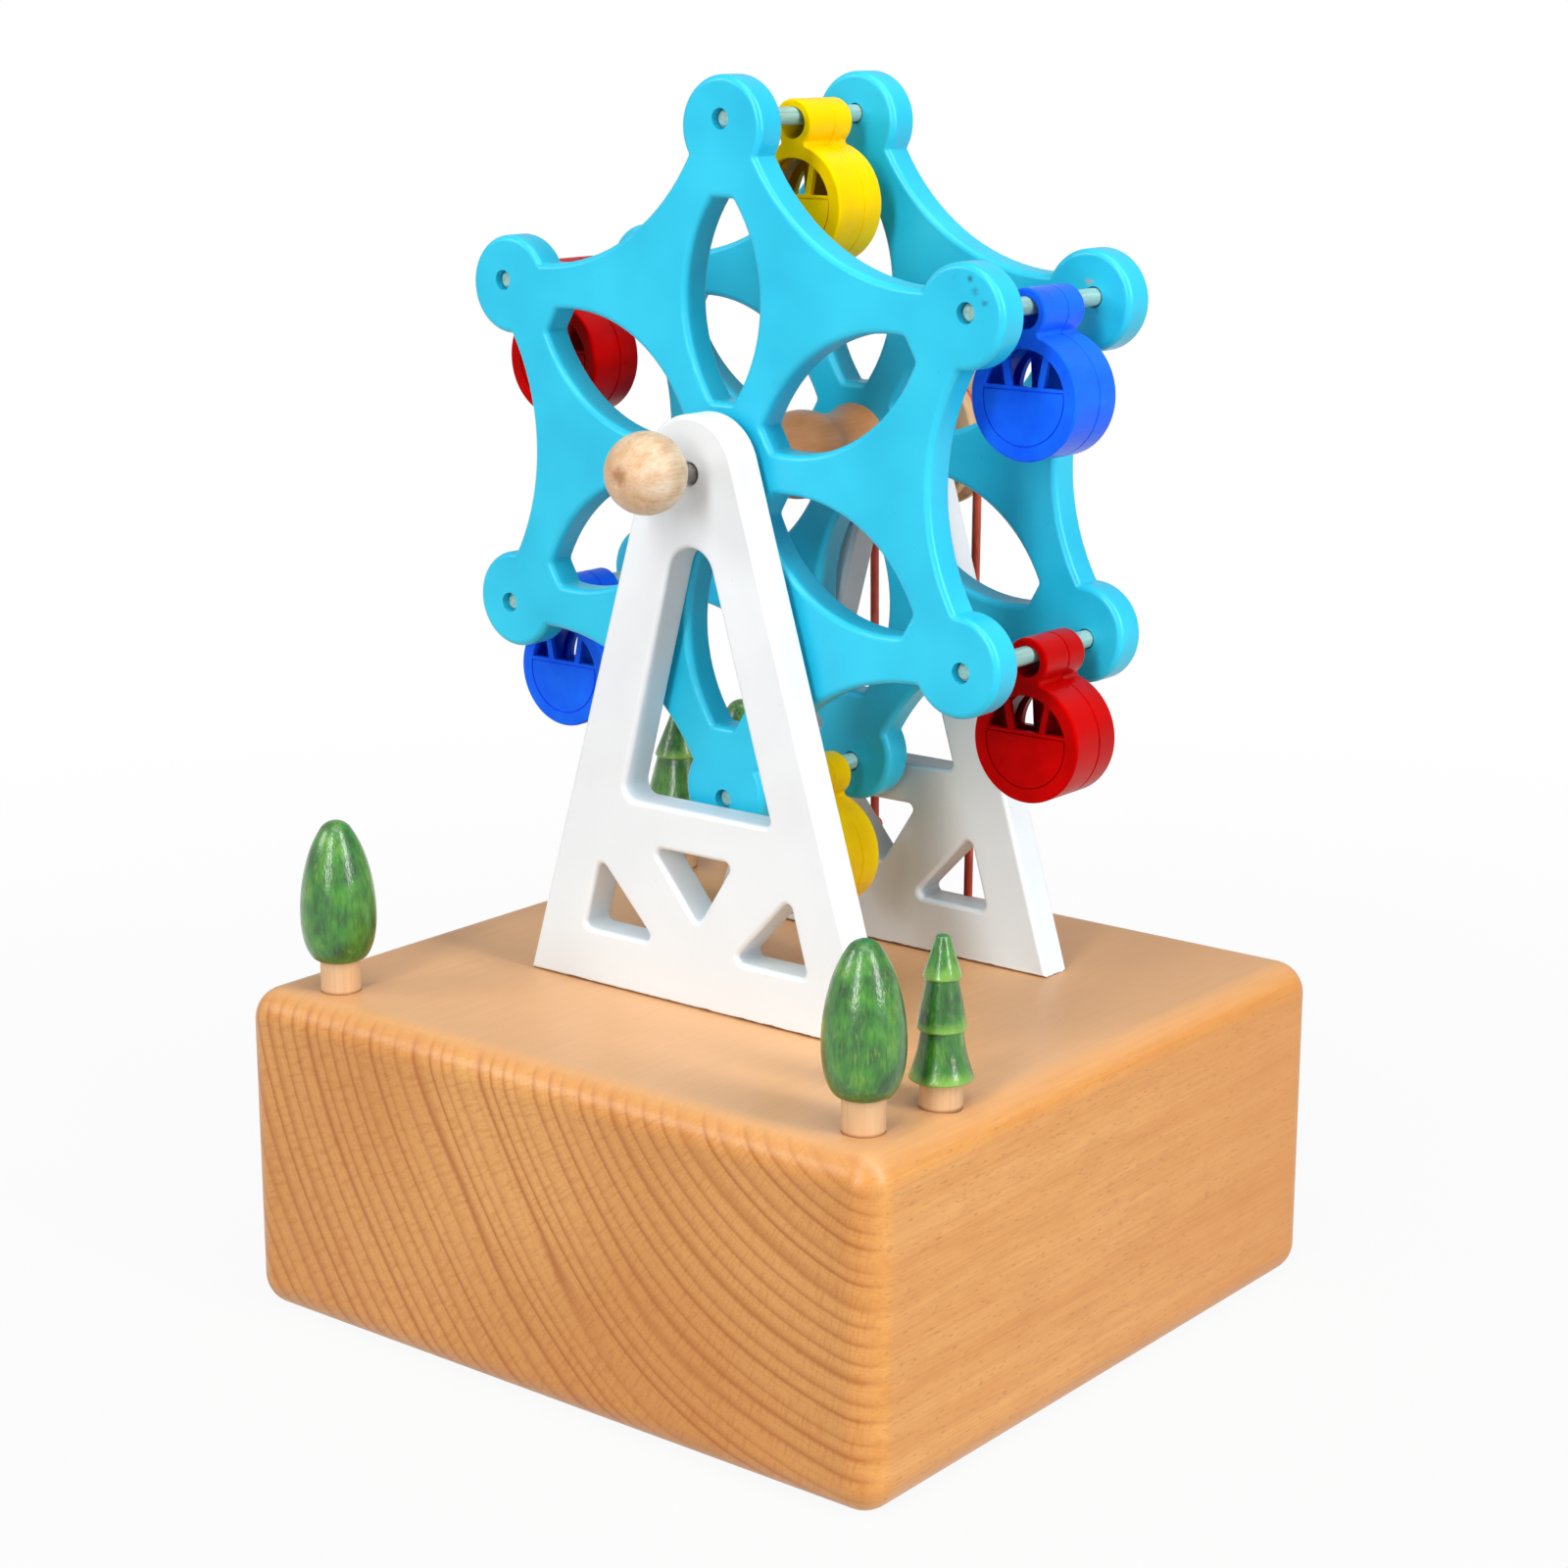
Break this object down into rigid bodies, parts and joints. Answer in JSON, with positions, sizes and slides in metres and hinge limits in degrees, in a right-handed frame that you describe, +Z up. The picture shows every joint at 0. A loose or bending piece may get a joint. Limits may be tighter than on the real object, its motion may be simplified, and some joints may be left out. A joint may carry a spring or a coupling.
{
  "type": "crank ferris wheel toy",
  "caption": "Wooden ferris wheel toy on a hollow block; a ball on the axle turns the wheel, hanging cabins stay upright and a belt drives the music movement inside.",
  "frame": {"origin": "middle of the block's underside, on the surface the toy stands on", "axes": "+Z up; the axle runs along Y, with the ball that turns the wheel towards -Y; +X is to the right seen from the ball's side"},
  "size_m": [0.12, 0.114, 0.1859],
  "materials": {
    "beech_block": "satin lacquered beech, end grain at the front",
    "plywood": "bare plywood",
    "white_paint": "smooth white paint on wood",
    "cyan_paint": "satin sky-blue paint on wood, soft edges",
    "pale_dowel": "bare pale beech, turned",
    "green_stain": "green stain under gloss lacquer",
    "brown_turning": "turned wood, oiled",
    "rod_green": "thin pale grey-green paint on dowel",
    "steel": "drawn bright steel",
    "cast_bed": "cast zinc alloy, dull",
    "comb_steel": "hardened steel",
    "brass": "turned brass",
    "belt_red": "smooth round polyurethane cord",
    "yellow_plastic": "moulded, glossy",
    "blue_plastic": "moulded, glossy",
    "red_plastic": "moulded, glossy"
  },
  "bodies": {
    "block_and_stands": {"base_block": "beech_block", "bottom_plate": "plywood", "bottom_plate_screws": "steel", "front_frame": "white_paint", "rear_frame": "white_paint", "frame_dowels": "pale_dowel", "tree_crown_egg_front_left": "green_stain", "tree_trunk_egg_front_left": "pale_dowel", "tree_crown_egg_front_right": "green_stain", "tree_trunk_egg_front_right": "pale_dowel", "tree_crown_egg_back_left": "green_stain", "tree_trunk_egg_back_left": "pale_dowel", "tree_crown_fir_right": "green_stain", "tree_trunk_fir_right": "pale_dowel", "tree_crown_fir_left": "green_stain", "tree_trunk_fir_left": "pale_dowel", "drive_belt": "belt_red", "music_comb": "comb_steel", "movement_bed": "cast_bed", "comb_screws": "steel", "movement_screws": "steel"},
    "wheel": {"front_disc": "cyan_paint", "rear_disc": "cyan_paint", "wheel_shaft": "steel", "axle_spindle": "brown_turning", "crank_knob": "pale_dowel", "drive_pulley": "pale_dowel", "cabin_rod_top": "rod_green", "cabin_rod_upper_right": "rod_green", "cabin_rod_lower_right": "rod_green", "cabin_rod_bottom": "rod_green", "cabin_rod_lower_left": "rod_green", "cabin_rod_upper_left": "rod_green"},
    "worm_input": {"worm_shaft": "steel", "driven_pulley": "pale_dowel"},
    "music_drum": {"music_cylinder": "brass", "cylinder_gear": "brass"},
    "cabin_top": {"cabin_top_front": "yellow_plastic", "cabin_top_back": "yellow_plastic"},
    "cabin_upper_right": {"cabin_upper_right_front": "blue_plastic", "cabin_upper_right_back": "blue_plastic"},
    "cabin_lower_right": {"cabin_lower_right_front": "red_plastic", "cabin_lower_right_back": "red_plastic"},
    "cabin_bottom": {"cabin_bottom_front": "yellow_plastic", "cabin_bottom_back": "yellow_plastic"},
    "cabin_lower_left": {"cabin_lower_left_front": "blue_plastic", "cabin_lower_left_back": "blue_plastic"},
    "cabin_upper_left": {"cabin_upper_left_front": "red_plastic", "cabin_upper_left_back": "red_plastic"}
  },
  "joints": [
    {"name": "wheel_spin", "type": "hinge", "parent": "block_and_stands", "child": "wheel", "pos_m": [0, 0, 0.1307], "axis": [0, 1, 0], "continuous": true},
    {"name": "cabin_top_swing", "type": "hinge", "parent": "wheel", "child": "cabin_top", "pos_m": [0, 0.00332, 0.17977], "axis": [0, 1, 0], "continuous": true},
    {"name": "cabin_upper_right_swing", "type": "hinge", "parent": "wheel", "child": "cabin_upper_right", "pos_m": [0.0425, 0.00332, 0.15524], "axis": [0, 1, 0], "continuous": true},
    {"name": "cabin_lower_right_swing", "type": "hinge", "parent": "wheel", "child": "cabin_lower_right", "pos_m": [0.0425, 0.00332, 0.10616], "axis": [0, 1, 0], "continuous": true},
    {"name": "cabin_bottom_swing", "type": "hinge", "parent": "wheel", "child": "cabin_bottom", "pos_m": [0, 0.00332, 0.08163], "axis": [0, 1, 0], "continuous": true},
    {"name": "cabin_lower_left_swing", "type": "hinge", "parent": "wheel", "child": "cabin_lower_left", "pos_m": [-0.0425, 0.00332, 0.10616], "axis": [0, 1, 0], "continuous": true},
    {"name": "cabin_upper_left_swing", "type": "hinge", "parent": "wheel", "child": "cabin_upper_left", "pos_m": [-0.0425, 0.00332, 0.15524], "axis": [0, 1, 0], "continuous": true},
    {"name": "worm_spin", "type": "hinge", "parent": "block_and_stands", "child": "worm_input", "pos_m": [0, 0.0349, 0.027], "axis": [0, 1, 0], "continuous": true},
    {"name": "drum_spin", "type": "hinge", "parent": "block_and_stands", "child": "music_drum", "pos_m": [0, 0.008, 0.018], "axis": [1, 0, 0], "continuous": true}
  ],
  "couplings": [
    {"joint": "cabin_top_swing", "follows": "wheel_spin", "ratio": -1},
    {"joint": "cabin_upper_right_swing", "follows": "wheel_spin", "ratio": -1},
    {"joint": "cabin_lower_right_swing", "follows": "wheel_spin", "ratio": -1},
    {"joint": "cabin_bottom_swing", "follows": "wheel_spin", "ratio": -1},
    {"joint": "cabin_lower_left_swing", "follows": "wheel_spin", "ratio": -1},
    {"joint": "cabin_upper_left_swing", "follows": "wheel_spin", "ratio": -1},
    {"joint": "worm_spin", "follows": "wheel_spin", "ratio": 1.1111},
    {"joint": "drum_spin", "follows": "wheel_spin", "ratio": 0.046296}
  ]
}
